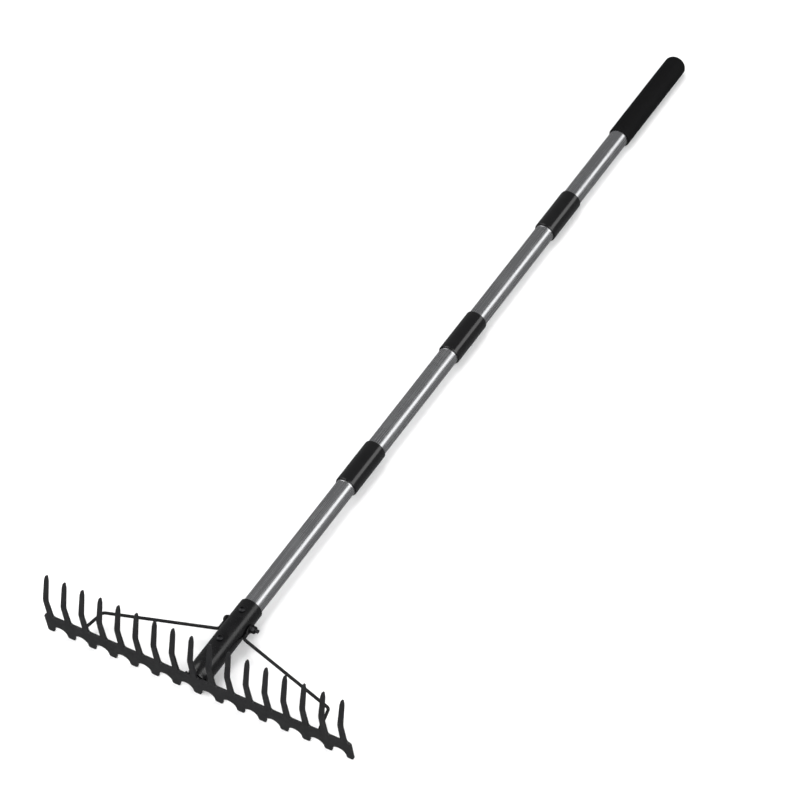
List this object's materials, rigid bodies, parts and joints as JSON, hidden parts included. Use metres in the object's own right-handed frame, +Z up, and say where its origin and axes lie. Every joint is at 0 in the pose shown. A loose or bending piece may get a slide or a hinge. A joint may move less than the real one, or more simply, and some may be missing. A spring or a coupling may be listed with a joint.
{
  "type": "garden rake",
  "caption": "Garden rake with a flat toothed steel head, two wire braces, a bolted socket and a straight steel handle of screw-together sections with a soft grip.",
  "frame": {"origin": "centre of the whole rake's box in X and Y, at floor level, as it lies with its tines up on the tips of its back teeth and the end of its grip", "axes": "+X along the head, +Y along the handle from the head to the grip, +Z up, the way the tines point"},
  "size_m": [0.4252, 1.1932, 0.0947],
  "materials": {
    "head_enamel": "satin black enamel",
    "weld_enamel": "satin black enamel over a weld bead",
    "bolt_steel": "blackened",
    "tube_steel": "fine brushed along the tube",
    "sleeve_plastic": "gloss black",
    "insert_nylon": "moulded",
    "grip_rubber": "matte"
  },
  "bodies": {
    "head": {"tine_plate": "head_enamel", "socket": "head_enamel", "socket_weld": "weld_enamel", "brace_left": "head_enamel", "brace_right": "head_enamel", "brace_weld_left": "weld_enamel", "brace_weld_right": "weld_enamel", "brace_bolt": "bolt_steel", "brace_washer": "bolt_steel", "brace_nut": "bolt_steel", "socket_bolt_lower": "bolt_steel", "socket_bolt_upper": "bolt_steel", "socket_nut_lower": "bolt_steel", "socket_nut_upper": "bolt_steel", "tube_1": "tube_steel", "male_insert_1": "insert_nylon"},
    "sleeve_1": {"coupling_sleeve_1": "sleeve_plastic"},
    "section_2": {"female_insert_1": "insert_nylon", "tube_2": "tube_steel", "male_insert_2": "insert_nylon"},
    "sleeve_2": {"coupling_sleeve_2": "sleeve_plastic"},
    "section_3": {"female_insert_2": "insert_nylon", "tube_3": "tube_steel", "male_insert_3": "insert_nylon"},
    "sleeve_3": {"coupling_sleeve_3": "sleeve_plastic"},
    "section_4": {"female_insert_3": "insert_nylon", "tube_4": "tube_steel", "grip": "grip_rubber"}
  },
  "joints": [
    {"name": "sleeve_1_slide", "type": "slide", "parent": "head", "child": "sleeve_1", "axis": [0, 1, -0.0087], "range_m": [0, 0.024]},
    {"name": "section_2_unscrew", "type": "hinge", "parent": "sleeve_1", "child": "section_2", "pos_m": [0, -0.22536, 0.02185], "axis": [0, 1, -0.0087], "range_deg": [0, 2160]},
    {"name": "sleeve_2_slide", "type": "slide", "parent": "section_2", "child": "sleeve_2", "axis": [0, 1, -0.0087], "range_m": [0, 0.024]},
    {"name": "section_3_unscrew", "type": "hinge", "parent": "sleeve_2", "child": "section_3", "pos_m": [0, 0.02063, 0.01971], "axis": [0, 1, -0.0087], "range_deg": [0, 2160]},
    {"name": "sleeve_3_slide", "type": "slide", "parent": "section_3", "child": "sleeve_3", "axis": [0, 1, -0.0087], "range_m": [0, 0.024]},
    {"name": "section_4_unscrew", "type": "hinge", "parent": "sleeve_3", "child": "section_4", "pos_m": [0, 0.26462, 0.01759], "axis": [0, 1, -0.0087], "range_deg": [0, 2160]}
  ],
  "couplings": [
    {"joint": "section_2_unscrew", "follows": "sleeve_1_slide", "rad_per_m": 1570.8},
    {"joint": "section_3_unscrew", "follows": "sleeve_2_slide", "rad_per_m": 1570.8},
    {"joint": "section_4_unscrew", "follows": "sleeve_3_slide", "rad_per_m": 1570.8}
  ]
}
